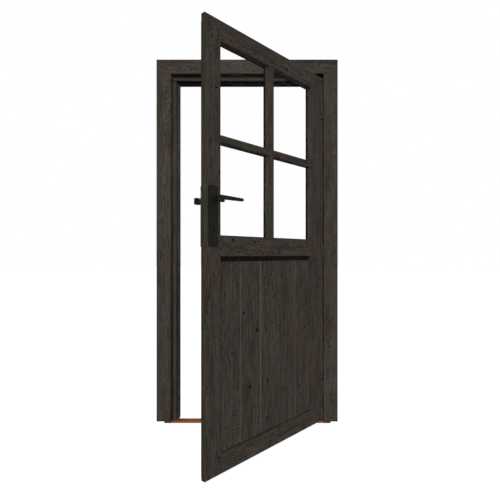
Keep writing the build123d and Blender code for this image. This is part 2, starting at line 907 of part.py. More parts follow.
# Handles: long backplates on both faces, with a boss round each lever's neck
def backplate():
    """The outer backplate. The inner one is its mirror image in the leaf's middle plane."""
    with BuildPart() as plate:
        with BuildSketch(Plane.XZ.offset(-y_leaf)) as outline:
            with Locations((spindle_x, (plate_low + plate_high) / 2)):
                Rectangle(plate_width, plate_height)
            chamfer(outline.vertices(), plate_corner)
        extrude(amount=plate_thickness)
        chamfer(plate.faces().sort_by(Axis.Y)[0].edges(), plate_edge)
        with BuildSketch(Plane.XZ.offset(-y_leaf)):
            with Locations((spindle_x, spindle_height)):
                Circle(boss_radius)
        extrude(amount=plate_thickness + boss_height)
        with BuildSketch(Plane.XZ.offset(-y_leaf)):
            with Locations((spindle_x, spindle_height)):
                Circle(neck_radius + neck_play)
        extrude(amount=plate_thickness + boss_height, mode=Mode.SUBTRACT)
        add(keyhole(y_leaf, plate_thickness), mode=Mode.SUBTRACT)
    return plate.part


middle_plane = Plane.XZ.offset(-y_leaf_mid)
with BuildPart() as outer_backplate:
    add(backplate())
    add(plate_bolts.part, mode=Mode.SUBTRACT)
write(hang(outer_backplate.part), "outer_backplate")

with BuildPart() as inner_backplate:
    add(backplate().mirror(middle_plane))
    add(plate_bolts.part, mode=Mode.SUBTRACT)
write(hang(inner_backplate.part), "inner_backplate")
write(hang(plate_bolts.part), "plate_bolts")


def lever():
    """The outer lever: a square-cornered hub on a neck, and a grip that falls to a slim tip."""
    tip_top = lever_hub - lever_fall
    tip_low = tip_top - 2 * lever_tip
    straight = lever_length - lever_tip
    with BuildPart() as handle:
        grip_face = y_leaf - lever_reach + lever_thickness
        with BuildSketch(Plane.XZ.offset(-grip_face)):
            with BuildLine(Location((spindle_x, spindle_height))):
                Polyline((straight, tip_top), (0, lever_hub), (0, -grip_drop), (straight, tip_low))
                ThreePointArc((straight, tip_low), (lever_length, tip_top - lever_tip), (straight, tip_top))
            make_face()
            with Locations((spindle_x, spindle_height)):
                RectangleRounded(2 * lever_hub, 2 * lever_hub, lever_hub_corner)
        extrude(amount=lever_thickness)
        chamfer(handle.faces().sort_by(Axis.Y)[0].edges(), lever_edge)
        with BuildSketch(Plane.XZ.offset(-y_leaf)):
            with Locations((spindle_x, spindle_height)):
                Circle(neck_radius)
        extrude(amount=lever_reach - lever_thickness / 2)
        socket = y_leaf - lever_reach + lever_thickness + 4.0
        span(
            (spindle_x - spindle_side / 2, spindle_x + spindle_side / 2),
            (socket, y_leaf),
            (spindle_height - spindle_side / 2, spindle_height + spindle_side / 2),
            Mode.SUBTRACT,
        )
    return handle.part


write(hang(lever()), "outer_lever")
write(hang(lever().mirror(middle_plane)), "inner_lever")

spindle_half = leaf_thickness / 2 + lever_reach - lever_thickness - 6.0
with BuildPart() as spindle:
    span(
        (spindle_x - spindle_side / 2, spindle_x + spindle_side / 2),
        (y_leaf_mid - spindle_half, y_leaf_mid + spindle_half),
        (spindle_height - spindle_side / 2, spindle_height + spindle_side / 2),
    )
write(hang(spindle.part), "spindle")
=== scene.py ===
import json
import math
import random

import bpy
from bpy.props import FloatProperty, FloatVectorProperty, PointerProperty
from mathutils import Euler, Matrix, Vector

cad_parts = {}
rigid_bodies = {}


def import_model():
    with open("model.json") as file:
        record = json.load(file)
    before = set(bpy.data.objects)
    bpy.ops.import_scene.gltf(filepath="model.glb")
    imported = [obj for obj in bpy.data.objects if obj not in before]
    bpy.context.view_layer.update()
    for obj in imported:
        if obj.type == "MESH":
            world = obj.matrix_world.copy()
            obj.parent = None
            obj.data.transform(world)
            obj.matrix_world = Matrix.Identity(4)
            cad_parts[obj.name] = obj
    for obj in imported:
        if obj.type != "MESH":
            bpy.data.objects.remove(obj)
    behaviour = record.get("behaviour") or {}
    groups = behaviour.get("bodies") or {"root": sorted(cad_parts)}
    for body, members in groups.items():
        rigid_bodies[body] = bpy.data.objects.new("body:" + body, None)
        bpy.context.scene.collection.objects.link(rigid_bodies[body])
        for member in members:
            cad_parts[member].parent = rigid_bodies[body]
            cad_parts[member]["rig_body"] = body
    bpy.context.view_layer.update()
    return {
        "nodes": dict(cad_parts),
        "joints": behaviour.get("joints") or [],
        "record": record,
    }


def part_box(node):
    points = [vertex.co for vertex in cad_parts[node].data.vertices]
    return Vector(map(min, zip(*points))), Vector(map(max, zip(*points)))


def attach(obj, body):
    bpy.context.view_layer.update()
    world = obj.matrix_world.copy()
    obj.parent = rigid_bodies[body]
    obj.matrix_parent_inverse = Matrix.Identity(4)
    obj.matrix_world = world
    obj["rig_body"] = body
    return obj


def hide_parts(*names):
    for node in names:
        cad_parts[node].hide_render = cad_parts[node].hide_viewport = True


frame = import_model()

bl_info = {
    "name": "Stable Door",
    "version": (1, 0, 0),
    "blender": (4, 5, 0),
    "location": "View3D > Sidebar > Stable Door",
    "description": "Finishes a half-glazed boarded stable door and its frame",
    "category": "Object",
}

ACROSS = Vector((1, 0, 0))
FRONT = Vector((0, -1, 0))
UP = Vector((0, 0, 1))


def joint(name):
    """The record of one joint."""
    return next(j for j in frame["joints"] if j["name"] == name)


# The leaf stands open, so its own directions and place come from the handle's joint
SPINDLE = Vector(joint("handle_turn")["pos_m"])
OUTWARD = -Vector(joint("handle_turn")["axis"]).normalized()
ALONG = UP.cross(OUTWARD).normalized()
LEAF_SPACE = Matrix.Translation(SPINDLE) @ Matrix((ALONG, -OUTWARD, UP)).transposed().to_4x4()


def extent(points):
    """The lowest and the highest corner of the box round some points."""
    low = Vector([min(p[i] for p in points) for i in range(3)])
    high = Vector([max(p[i] for p in points) for i in range(3)])
    return low, high


def leaf_extent(node):
    """A node's lowest and highest corners along the leaf, into it and up, from the spindle."""
    into = LEAF_SPACE.inverted()
    return extent([into @ v.co for v in frame["nodes"][node].data.vertices])


def colour(name, description, default):
    """A colour setting, in linear light."""
    return FloatVectorProperty(
        name=name, description=description, default=default, size=3, min=0, max=1, subtype="COLOR"
    )


def length(name, description, default):
    """A length setting, in metres."""
    return FloatProperty(
        name=name, description=description, default=default, min=0, unit="LENGTH", precision=5
    )


def factor(name, description, default, most=1.0):
    """A plain number, from 0 to its most."""
    return FloatProperty(name=name, description=description, default=default, min=0, max=most)


class StainedWood(bpy.types.PropertyGroup):
    deep: colour("Deep stain", "Colour where the wood took the stain best", (0.022, 0.0181, 0.015))
    thin: colour("Thin stain", "Colour on the hard late rings", (0.086, 0.0725, 0.0632))
    warm: colour("Warm blotch", "Tint where the stain leans to red", (1.0, 0.9, 0.86))
    cool: colour("Cool blotch", "Tint where the stain leans to green", (0.93, 1.0, 0.91))
    knot: colour("Knot", "Colour of the knots", (0.006, 0.005, 0.0045))
    ring: length("Ring pitch", "Distance between growth rings", 0.0052)
    wander: length("Wander", "How far the grain wanders sideways", 0.012)
    rough: factor("Roughness", "Mean roughness of the stained face", 0.8)
    dotting: factor("Dotting", "Strength of the dotted rows along the grain", 0.7)
    relief: length("Relief", "Depth of the raised grain", 0.00012)
    # Painted highlight: a paler line along the boards' V-joints stands in for the light their chamfers
    # catch, not for rubbed edges
    joint_highlight_width: length("Arris", "Width of the paler line along the boards' rubbed edges", 0.004)
    # Painted shade: the glazing beads are darkened to stand in for the shade deep in the glazing rebates
    bead_painted_shade: factor("Bead stain", "How light the glazing beads are beside the rest", 0.35)
    # Painted shade: the band under the middle rail and the head jamb's second stop are darkened to stand
    # in for their shade, not for pooled stain
    shade_band_height: length("Pool height", "Height of the recess where the stain pooled", 0.023)
    painted_shade_level: factor("Pool stain", "How light the pooled stain is beside the rest", 0.22)
    stop_width: length("Second stop width", "How far the second stop stands into the doorway", 0.008)
    stop_depth: length("Second stop depth", "How far back the second stop lies", 0.065)


class Hardwood(bpy.types.PropertyGroup):
    light: colour("Light", "Colour between the pores", (0.43, 0.165, 0.068))
    dark: colour("Dark", "Colour of the pores and bands", (0.233, 0.081, 0.034))
    rough: factor("Roughness", "Mean roughness of the oiled face", 0.5)


class Metalwork(bpy.types.PropertyGroup):
    black: colour("Black coat", "Colour of the matt black coat", (0.0058, 0.0052, 0.0045))
    brown: colour("Brown coat", "Colour of the hinges' coat, toned to the wood", (0.042, 0.035, 0.029))
    zinc: colour("Zinc", "Colour of the zinc plating", (0.52, 0.52, 0.53))
    coat_rough: factor("Coat roughness", "Roughness of the matt black coat", 0.5)
    voxel: length("Casting detail", "Smallest shape that the cast levers keep", 0.0007)
    round_over: length("Round over", "Radius of the levers' edges", 0.0035)
    hub_corner: length("Hub corner", "Radius of the levers' square hubs at their corners", 0.005)
    fall: length("Fall", "How far a grip's top edge falls from its hub to its tip", 0.003)
    plate_corner: length("Plate corner", "Radius of the backplates' corners", 0.003)
    plate_edge: length("Plate edge", "Radius of the backplates' front edges", 0.0015)
    boss: length("Boss", "Radius of the boss round a lever's neck", 0.013)
    boss_height: length("Boss height", "How far the boss stands above its backplate", 0.004)
    neck_hole: length("Neck hole", "Radius of the hole for a lever's neck", 0.00905)
    key_drop: length("Key drop", "How far the keyhole lies below the spindle", 0.122)
    key_round: length("Keyhole", "Radius of the keyhole's round part", 0.004)
    key_slot: length("Key slot", "Width of the keyhole's slot", 0.003)
    key_length: length("Key slot length", "Length of the keyhole's slot", 0.013)


class Stage(bpy.types.PropertyGroup):
    camera: FloatVectorProperty(
        name="Camera",
        description="Where the camera stands",
        default=(0.1987, -2.3407, 0.9372),
        subtype="TRANSLATION",
        unit="LENGTH",
    )
    lens: FloatProperty(name="Lens", description="Focal length in millimetres", default=30.02)
    shift_x: FloatProperty(name="Shift across", description="Sideways shift of the lens", default=-0.0662)
    shift_y: FloatProperty(name="Shift up", description="Upward shift of the lens", default=0.0092)
    floor: length("Floor", "Side of the square floor", 60.0)
    key: factor("Key", "Strength of the soft key light from the front", 1.6, 10)
    side: factor("Side", "Strength of the even light from the front right", 1.25, 10)
    fill: factor("Fill", "Strength of the soft light from behind", 2.0, 10)
    sky: factor("Sky", "Strength of the light from above and around", 0.35, 10)


def add(tree, kind, inputs=None, **settings):
    """Adds a shader node. A socket among its inputs is linked, and a plain value is set."""
    node = tree.nodes.new(kind)
    for name, value in settings.items():
        setattr(node, name, value)
    for key, value in (inputs or {}).items():
        if isinstance(value, bpy.types.NodeSocket):
            tree.links.new(value, node.inputs[key])
        else:
            node.inputs[key].default_value = value
    return node


def fresh_tree(owner):
    """The node tree of a new material or world, emptied."""
    owner.use_nodes = True
    owner.node_tree.nodes.clear()
    return owner.node_tree


def material(name, **values):
    """A new material with one principled shader, whose plain values are set."""
    made = bpy.data.materials.new(name)
    tree = fresh_tree(made)
    shader = add(tree, "ShaderNodeBsdfPrincipled", values)
    add(tree, "ShaderNodeOutputMaterial", {"Surface": shader.outputs["BSDF"]})
    return made, tree, shader


def feed(tree, shader, **sources):
    """Links sockets into the shader. An underscore in a name stands for a space."""
    for name, source in sources.items():
        tree.links.new(source, shader.inputs[name.replace("_", " ")])


def object_place(tree):
    """Each point's place in its object, in metres."""
    return add(tree, "ShaderNodeTexCoord").outputs["Object"]


def vector_math(tree, operation, *values):
    """The vector that an operation makes of its values."""
    inputs = dict(enumerate(values))
    return add(tree, "ShaderNodeVectorMath", inputs, operation=operation).outputs["Vector"]


def reach(tree, direction):
    """How far each point lies along a direction, from the origin."""
    inputs = {0: object_place(tree), 1: direction}
    return add(tree, "ShaderNodeVectorMath", inputs, operation="DOT_PRODUCT").outputs["Value"]


def math_node(tree, operation, *values):
    """The number that an operation makes of its values."""
    return add(tree, "ShaderNodeMath", dict(enumerate(values)), operation=operation).outputs[0]


def noise(tree, vector, features, detail=3.0, rough=0.5):
    """Noise with so many features a metre along each axis."""
    place = vector_math(tree, "MULTIPLY", vector, features)
    inputs = {"Vector": place, "Scale": 1.0, "Detail": detail, "Roughness": rough}
    return add(tree, "ShaderNodeTexNoise", inputs)


def spread(tree, value, low, high, new_low=0.0, new_high=1.0):
    """Maps low..high to new_low..new_high, held at the ends."""
    inputs = {"Value": value, "From Min": low, "From Max": high, "To Min": new_low, "To Max": new_high}
    return add(tree, "ShaderNodeMapRange", inputs, clamp=True).outputs["Result"]


def mix(tree, amount, a, b, blend="MIX"):
    """Two colours mixed by an amount. Sockets 6 and 7 take the colours, and output 2 gives the mix."""
    node = add(tree, "ShaderNodeMix", {0: amount}, data_type="RGBA", blend_type=blend)
    for key, value in ((6, a), (7, b)):
        if isinstance(value, bpy.types.NodeSocket):
            tree.links.new(value, node.inputs[key])
        else:
            node.inputs[key].default_value = (*value, 1)
    return node.outputs[2]


def bump(tree, height, depth, strength):
    """A normal that lifts the skin by a depth where a height is 1."""
    inputs = {"Height": height, "Distance": depth, "Strength": strength}
    return add(tree, "ShaderNodeBump", inputs).outputs["Normal"]


def grain_space(tree, node, grain, luck, tilt):
    """Coordinates whose Z runs along the grain, with the pith of the log beside the piece."""
    low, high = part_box(node)
    lean = Euler((luck.uniform(-tilt, tilt), luck.uniform(-tilt, tilt), 0)).to_matrix()
    turn = lean @ grain.rotation_difference(UP).to_matrix()
    angle = luck.uniform(0, 2 * math.pi)
    away = luck.uniform(0.05, 0.11)
    pith = Vector((away * math.cos(angle), away * math.sin(angle), luck.uniform(0, 30)))
    shift = pith - turn @ ((low + high) / 2)
    inputs = {"Vector": object_place(tree), "Location": shift, "Rotation": turn.to_euler()}
    return add(tree, "ShaderNodeMapping", inputs).outputs["Vector"], turn, shift


def knot_distance(tree, place, heart):
    """The way from a knot's heart to each point, and how far it is."""
    away = vector_math(tree, "SUBTRACT", place, heart)
    distance = add(tree, "ShaderNodeVectorMath", {0: away}, operation="LENGTH").outputs["Value"]
    return away, distance


def knotty(tree, place, hearts):
    """Bends the grain round each knot, and masks knots and small specks: 1 at a heart, 0 further away."""
    cells = vector_math(tree, "MULTIPLY", place, (16, 16, 10))
    specks = add(tree, "ShaderNodeTexVoronoi", {"Vector": cells, "Scale": 1.0}).outputs["Distance"]
    mask = spread(tree, specks, 0.02, 0.075, 0.9, 0.0)
    bent = place
    for heart, radius in hearts:
        away, distance = knot_distance(tree, place, heart)
        pull = spread(tree, distance, radius, 6 * radius, 0.75, 0.0)
        shift = add(tree, "ShaderNodeVectorMath", {0: away, "Scale": pull}, operation="SCALE")
        bent = vector_math(tree, "SUBTRACT", bent, shift.outputs["Vector"])
        near = spread(tree, distance, radius * 0.4, radius * 1.4, 1.0, 0.0)
        mask = math_node(tree, "MAXIMUM", mask, near)
    return bent, mask


def growth_rings(tree, place, pitch):
    """Growth rings round the pith, from 0 in the early wood to 1 where a late ring ends."""
    inputs = {
        "Vector": place,
        "Scale": math.pi / (10 * pitch),
        "Distortion": 0.6,
        "Detail": 2.0,
        "Detail Scale": 0.4,
    }
    settings = {"wave_type": "RINGS", "rings_direction": "Z", "wave_profile": "SAW"}
    return add(tree, "ShaderNodeTexWave", inputs, **settings).outputs["Fac"]


def dotted_rows(tree, place):
    """Rows of dots along the grain: -1 to 1 in a row, and 0 beside it."""
    dots = noise(tree, place, (260, 260, 150), 1.0).outputs["Fac"]
    rows = noise(tree, place, (34, 34, 1.2), 1.0).outputs["Fac"]
    dots = spread(tree, dots, 0.3, 0.7, -1.0, 1.0)
    return math_node(tree, "MULTIPLY", dots, spread(tree, rows, 0.56, 0.63))


def joint_highlight_mask(tree, joints, width):
    """The mask of the painted highlight: 1 along the boards' joints and 0 further than a width from them.
    """
    along = reach(tree, ALONG)
    amount = 0.0
    for from_spindle in joints:
        here = SPINDLE.dot(ALONG) + from_spindle
        away = math_node(tree, "ABSOLUTE", math_node(tree, "SUBTRACT", along, here))
        amount = math_node(tree, "MAXIMUM", amount, spread(tree, away, width / 2, width, 1.0, 0.0))
    return amount


def painted_shade_mask(tree, limits):
    """The mask of the painted shade: 1 where a point lies beyond every limit, given as directions and
    distances, and 0 elsewhere.
    """
    blur = 0.001
    amount = 1.0
    for direction, least in limits:
        beyond = spread(tree, reach(tree, direction), least - blur, least + blur)
        amount = math_node(tree, "MULTIPLY", amount, beyond)
    return amount


def stained_wood(node, grain, luck, knots=(), stain=1.0, painted_shade=(), joints=()):
    """Softwood under a dark stain: rings, fibres, flecks, streaks, dots, blotches and knots, with a
    painted highlight along the boards' joints, painted shade on the beads and painted shade beyond the
    limits given.
    """
    wood = bpy.context.scene.door_wood
    made, tree, shader = material(f"stained_{node}", **{"Specular IOR Level": 0.0})
    place, turn, shift = grain_space(tree, node, grain, luck, math.radians(1.2))
    hearts = [(turn @ heart + shift, radius) for heart, radius in knots]
    bent, mask = knotty(tree, place, hearts)
    drift = noise(tree, place, (7, 7, 1.3), 2.0).outputs["Color"]
    drift = vector_math(tree, "SUBTRACT", drift, (0.5, 0.5, 0.5))
    wandered = vector_math(tree, "MULTIPLY_ADD", drift, (wood.wander,) * 3, bent)
    late = spread(tree, growth_rings(tree, wandered, wood.ring), 0.45, 1.0)
    fibres = noise(tree, wandered, (800, 800, 26), 3.0, 0.6).outputs["Fac"]
    flecks = noise(tree, wandered, (300, 300, 26), 2.0, 0.6).outputs["Fac"]
    streaks = noise(tree, wandered, (170, 170, 8), 4.0, 0.6).outputs["Fac"]
    mottle = noise(tree, place, (55, 55, 17), 3.0).outputs["Fac"]
    broad = noise(tree, place, (30, 30, 3), 3.0).outputs["Fac"]
    tone = math_node(tree, "MULTIPLY", late, 0.2)
    # Each pattern, the part of its range that counts and its share of the tone
    for source, low, high, share in (
        (fibres, 0.36, 0.64, 0.2),
        (streaks, 0.38, 0.62, 0.28),
        (mottle, 0.38, 0.62, 0.14),
        (broad, 0.38, 0.62, 0.18),
        (flecks, 0.56, 0.68, -0.35),
    ):
        tone = math_node(tree, "ADD", tone, spread(tree, source, low, high, 0.0, share))
    # Painted highlight: the tone is raised along the boards' joints
    if joints:
        tone = math_node(tree, "MULTIPLY_ADD", joint_highlight_mask(tree, joints, wood.joint_highlight_width), 0.4, tone)
    tone = math_node(tree, "MULTIPLY_ADD", dotted_rows(tree, wandered), wood.dotting, tone)
    # A stain below 1 darkens both colours; on the beads this is painted shade
    deep, thin = (tuple(stain * c for c in tint) for tint in (wood.deep, wood.thin))
    base = mix(tree, spread(tree, tone, 0.0, 1.0), deep, thin)
    blotch = noise(tree, place, (22, 22, 4.2), 2.0).outputs["Fac"]
    base = mix(tree, spread(tree, blotch, 0.5, 0.66), base, wood.warm, "MULTIPLY")
    base = mix(tree, spread(tree, blotch, 0.34, 0.5, 1.0, 0.0), base, wood.cool, "MULTIPLY")
    base = mix(tree, mask, base, wood.knot)
    # Painted shade: darkens the boards' heads under the middle rail and the head jamb's second stop, as
    # their shade
    if painted_shade:
        base = mix(tree, painted_shade_mask(tree, painted_shade), base, (wood.painted_shade_level,) * 3, "MULTIPLY")
    height = math_node(tree, "MULTIPLY_ADD", late, 0.4, fibres)
    rough = spread(tree, tone, 0.0, 1.0, wood.rough + 0.12, wood.rough - 0.08)
    feed(tree, shader, Base_Color=base, Roughness=rough, Normal=bump(tree, height, wood.relief, 0.6))
    return made


def hardwood(node, grain, luck):
    """Oiled hardwood: long pores over broad bands."""
    wood = bpy.context.scene.door_hardwood
    made, tree, shader = material(f"hardwood_{node}", **{"Specular IOR Level": 0.0})
    place, _, _ = grain_space(tree, node, grain, luck, math.radians(0.6))
    pores = noise(tree, place, (1400, 1400, 40), 2.0).outputs["Fac"]
    bands = noise(tree, place, (160, 160, 3), 4.0, 0.6).outputs["Fac"]
    tone = math_node(tree, "MULTIPLY", spread(tree, pores, 0.38, 0.6), spread(tree, bands, 0.3, 0.7))
    base = mix(tree, tone, wood.dark, wood.light)
    rough = spread(tree, tone, 0.0, 1.0, wood.rough + 0.15, wood.rough - 0.05)
    feed(tree, shader, Base_Color=base, Roughness=rough, Normal=bump(tree, pores, 0.0003, 0.5))
    return made


def powder_coat(name, tint):
    """Matt powder coat with a fine orange-peel skin, a little paler where it is rubbed."""
    metal = bpy.context.scene.door_metal
    made, tree, shader = material(name, **{"Specular IOR Level": 0.08})
    place = object_place(tree)
    peel = noise(tree, place, (900, 900, 900), 2.0).outputs["Fac"]
    wear = noise(tree, place, (60, 60, 60), 4.0, 0.65).outputs["Fac"]
    rubbed = tuple(c + 0.0062 for c in tint)
    base = mix(tree, spread(tree, wear, 0.4, 0.75), tint, rubbed)
    rough = spread(tree, wear, 0.3, 0.7, metal.coat_rough + 0.08, metal.coat_rough - 0.06)
    feed(tree, shader, Base_Color=base, Roughness=rough, Normal=bump(tree, peel, 0.0002, 0.5))
    return made


def zinc_plate():
    """Zinc-plated steel with a brushed grain and a cloudy passivated skin."""
    metal = bpy.context.scene.door_metal
    made, tree, shader = material("zinc_plate", Metallic=1.0)
    place = object_place(tree)
    brushed = noise(tree, place, (2600, 2600, 60), 2.0).outputs["Fac"]
    cloud = noise(tree, place, (45, 45, 45), 3.0).outputs["Fac"]
    dull = tuple(0.78 * c for c in metal.zinc)
    base = mix(tree, spread(tree, cloud, 0.35, 0.65), dull, metal.zinc)
    rough = spread(tree, brushed, 0.3, 0.7, 0.28, 0.46)
    feed(tree, shader, Base_Color=base, Roughness=rough, Normal=bump(tree, brushed, 0.0001, 0.4))
    return made


def nail_stain():
    """Nail heads under the same dark stain as the casings."""
    wood = bpy.context.scene.door_wood
    made, tree, shader = material("nail_stain", **{"Specular IOR Level": 0.1})
    cover = noise(tree, object_place(tree), (700, 700, 700), 2.0).outputs["Fac"]
    base = mix(tree, spread(tree, cover, 0.35, 0.65, 0.1, 0.6), wood.deep, wood.thin)
    rough = spread(tree, cover, 0.3, 0.7, wood.rough, wood.rough - 0.15)
    feed(tree, shader, Base_Color=base, Roughness=rough)
    return made


def seal_rubber():
    """Soft black rubber with a dry bloom."""
    made, tree, shader = material("seal_rubber", **{"Specular IOR Level": 0.3})
    bloom = noise(tree, object_place(tree), (120, 120, 30), 4.0, 0.6).outputs["Fac"]
    base = mix(tree, spread(tree, bloom, 0.35, 0.7), (0.008, 0.008, 0.008), (0.02, 0.02, 0.019))
    rough = spread(tree, bloom, 0.3, 0.7, 0.6, 0.78)
    feed(tree, shader, Base_Color=base, Roughness=rough)
    return made


def clear_glass():
    """Float glass with the faint roll of its making. Its index is low, so that it mirrors little."""
    clear = {"Transmission Weight": 1.0, "Roughness": 0.0, "IOR": 1.04}
    made, tree, shader = material("clear_glass", **clear)
    roll = noise(tree, object_place(tree), (5, 5, 5), 1.0).outputs["Fac"]
    base = mix(tree, roll, (0.985, 0.99, 0.985), (1.0, 1.0, 1.0))
    feed(tree, shader, Base_Color=base, Normal=bump(tree, roll, 0.0002, 0.2))
    return made


def finish_node(name, finish):
    """Puts a finish in every material slot of a CAD node."""
    for holder in frame["nodes"][name].material_slots:
        holder.material = finish


def select_only(*objects):
    """Selects these objects alone, with the first as the active one."""
    bpy.ops.object.select_all(action="DESELECT")
    for one in objects:
        one.select_set(True)
    bpy.context.view_layer.objects.active = objects[0]


def apply_modifier(piece, kind, **settings):
    """Adds a modifier to a piece and applies it."""
    select_only(piece)
    bpy.ops.object.modifier_add(type=kind)
    modifier = piece.modifiers[-1]
    for name, value in settings.items():
        setattr(modifier, name, value)
    bpy.ops.object.modifier_apply(modifier=modifier.name)


def block(size, centre):
    """A block of this size round a centre, to be shaped further."""
    bpy.ops.object.select_all(action="DESELECT")
    bpy.ops.mesh.primitive_cube_add(size=1, location=centre)
    piece = bpy.context.object
    piece.scale = size
    bpy.ops.object.transform_apply(location=True, rotation=True, scale=True)
    return piece


def rod(radius, ends, centre_x=0.0, centre_z=0.0, sides=64):
    """A rod along Y between two ends."""
    bpy.ops.object.select_all(action="DESELECT")
    bpy.ops.mesh.primitive_cylinder_add(
        vertices=sides,
        radius=radius,
        depth=abs(ends[1] - ends[0]),
        location=(centre_x, sum(ends) / 2, centre_z),
        rotation=(math.pi / 2, 0, 0),
    )
    piece = bpy.context.object
    bpy.ops.object.transform_apply(location=True, rotation=True, scale=True)
    return piece


def bevel_edges(piece, chosen, offset, segments):
    """Bevels the edges whose two ends pass a test."""
    select_only(piece)
    bpy.ops.object.mode_set(mode="EDIT")
    bpy.ops.mesh.select_all(action="DESELECT")
    bpy.ops.object.mode_set(mode="OBJECT")
    mesh = piece.data
    for edge in mesh.edges:
        a, b = (mesh.vertices[i].co for i in edge.vertices)
        edge.select = chosen(a, b)
    bpy.ops.object.mode_set(mode="EDIT")
    bpy.ops.mesh.select_mode(type="EDGE")
    bpy.ops.mesh.bevel(offset=offset, segments=segments, affect="EDGES")
    bpy.ops.object.mode_set(mode="OBJECT")


def crosses(thick):
    """A test for edges that run through a plate of this thickness along Y."""
    return lambda a, b: abs(a.y - b.y) > thick / 2


def lies_at(level):
    """A test for edges that lie on the plane at a level of Y."""
    slack = 0.0001
    return lambda a, b: max(abs(a.y - level), abs(b.y - level)) < slack


def combine(piece, other, operation):
    """Joins another closed shape to a piece, or cuts it away."""
    apply_modifier(piece, "BOOLEAN", operation=operation, object=other, solver="EXACT")
    bpy.data.objects.remove(other)


def settle(piece, name, place, body, slot, finish, *nodes):
    """Names a piece drawn about the origin, moves its mesh to its place and hands it over."""
    piece.name = name
    piece.matrix_world = place @ piece.matrix_world
    select_only(piece)
    bpy.ops.object.transform_apply(location=True, rotation=True, scale=True)
    piece.data.materials.clear()
    piece.data.materials.append(finish)
    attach(piece, body)
    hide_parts(*nodes)


# The way the grain runs in each piece of stained wood, where it isn't upright
GRAIN = {
    "head_jamb": ACROSS,
    "casing_head": ACROSS,
    "top_rail": ALONG,
    "mid_rail": ALONG,
    "bottom_rail": ALONG,
    "cross_bar_left": ALONG,
    "cross_bar_right": ALONG,
}


def nodes_in(slot_name):
    """The CAD nodes of one material slot, in the order of their names."""
    parts = frame["record"]["subparts"]
    return sorted(part["node"] for part in parts if part["material_slot"] == slot_name)


# Knots on the leaf's front: how far along from the spindle, how high above it, and their radius
KNOTS = {
    "board_1": [(0.120, -0.663, 0.006)],
    "board_2": [(0.193, -0.491, 0.007), (0.278, -0.580, 0.009), (0.232, -0.834, 0.009)],
    "board_3": [(0.341, -0.579, 0.006), (0.355, -0.831, 0.006), (0.348, -1.011, 0.006)],
    "board_4": [(0.470, -0.905, 0.005)],
    "board_5": [(0.606, -0.915, 0.005), (0.640, -0.560, 0.004)],
    "hinge_stile": [(0.753, -0.401, 0.007), (0.770, 0.190, 0.005)],
    "lock_stile": [(0.035, -1.082, 0.007), (0.020, 0.470, 0.005), (0.036, 0.115, 0.005)],
    "bottom_rail": [(0.356, -1.121, 0.006)],
    "mid_rail": [(0.115, -0.165, 0.008), (0.250, -0.170, 0.006), (0.420, -0.220, 0.005)],
    "top_rail": [(0.480, 0.700, 0.008)],
}


def leaf_knots(node):
    """The hearts of a piece's knots on its front face, and their radii."""
    front = leaf_extent(node)[0].y
    return [(LEAF_SPACE @ Vector((x, front, z)), radius) for x, z, radius in KNOTS.get(node, ())]


def board_joints(count):
    """Where so many boards meet, along the leaf from the spindle."""
    low = leaf_extent("lock_stile")[1].x
    high = leaf_extent("hinge_stile")[0].x
    return [low + (high - low) * i / count for i in range(1, count)]


def painted_shade_limits(boards):
    """The limits of the painted shade: on the boards' rebated heads under the middle rail and on the head
    jamb's second stop.
    """
    wood = bpy.context.scene.door_wood
    shade_limits = {node: [(UP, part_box("mid_rail")[0].z - wood.shade_band_height)] for node in boards}
    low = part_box("head_jamb")[0]
    past_corner = 0.002
    shade_limits["head_jamb"] = [
        (-UP, -low.z - wood.stop_width),
        (FRONT, -low.y - wood.stop_depth - past_corner),
    ]
    return shade_limits


class DOOR_OT_stained_wood(bpy.types.Operator):
    """Stain the frame, the leaf, its boards and beads"""

    bl_idname = "door.stained_wood"
    bl_label = "Stained wood"

    def execute(self, context):
        luck = random.Random(5)
        nodes = nodes_in("stained_wood")
        boards = [node for node in nodes if node.startswith("board")]
        joints = board_joints(len(boards))
        shade_limits = painted_shade_limits(boards)
        for node in nodes:
            finish = stained_wood(
                node,
                GRAIN.get(node, UP),
                luck,
                knots=leaf_knots(node),
                # The beads get painted shade through a darker stain
                stain=context.scene.door_wood.bead_painted_shade if node.startswith("beads") else 1.0,
                painted_shade=shade_limits.get(node, ()),
                joints=joints if node in boards else (),
            )
            finish_node(node, finish)
        return {"FINISHED"}


class DOOR_OT_sill(bpy.types.Operator):
    """Oil the hardwood sill"""

    bl_idname = "door.sill"
    bl_label = "Hardwood sill"

    def execute(self, context):
        finish_node("sill", hardwood("sill", ACROSS, random.Random(3)))
        return {"FINISHED"}


class DOOR_OT_glazing(bpy.types.Operator):
    """Clear the panes"""

    bl_idname = "door.glazing"
    bl_label = "Glazing"

    def execute(self, context):
        glass = clear_glass()
        for node in nodes_in("glass"):
            finish_node(node, glass)
        return {"FINISHED"}


class DOOR_OT_metalwork(bpy.types.Operator):
    """Coat and plate the hinges, the lock and the plates, and blacken the seal"""

    bl_idname = "door.metalwork"
    bl_label = "Metalwork and seal"

    def execute(self, context):
        metal = context.scene.door_metal
        for slot_name, made in (
            ("black_metal", powder_coat("black_coat", metal.black)),
            ("zinc_steel", zinc_plate()),
            ("seal", seal_rubber()),
        ):
            for node in nodes_in(slot_name):
                finish_node(node, made)
        brown = powder_coat("brown_coat", metal.brown)
        for node in nodes_in("black_metal"):
            if node.startswith("hinge"):
                finish_node(node, brown)
        finish_node("casing_nails", nail_stain())
        return {"FINISHED"}


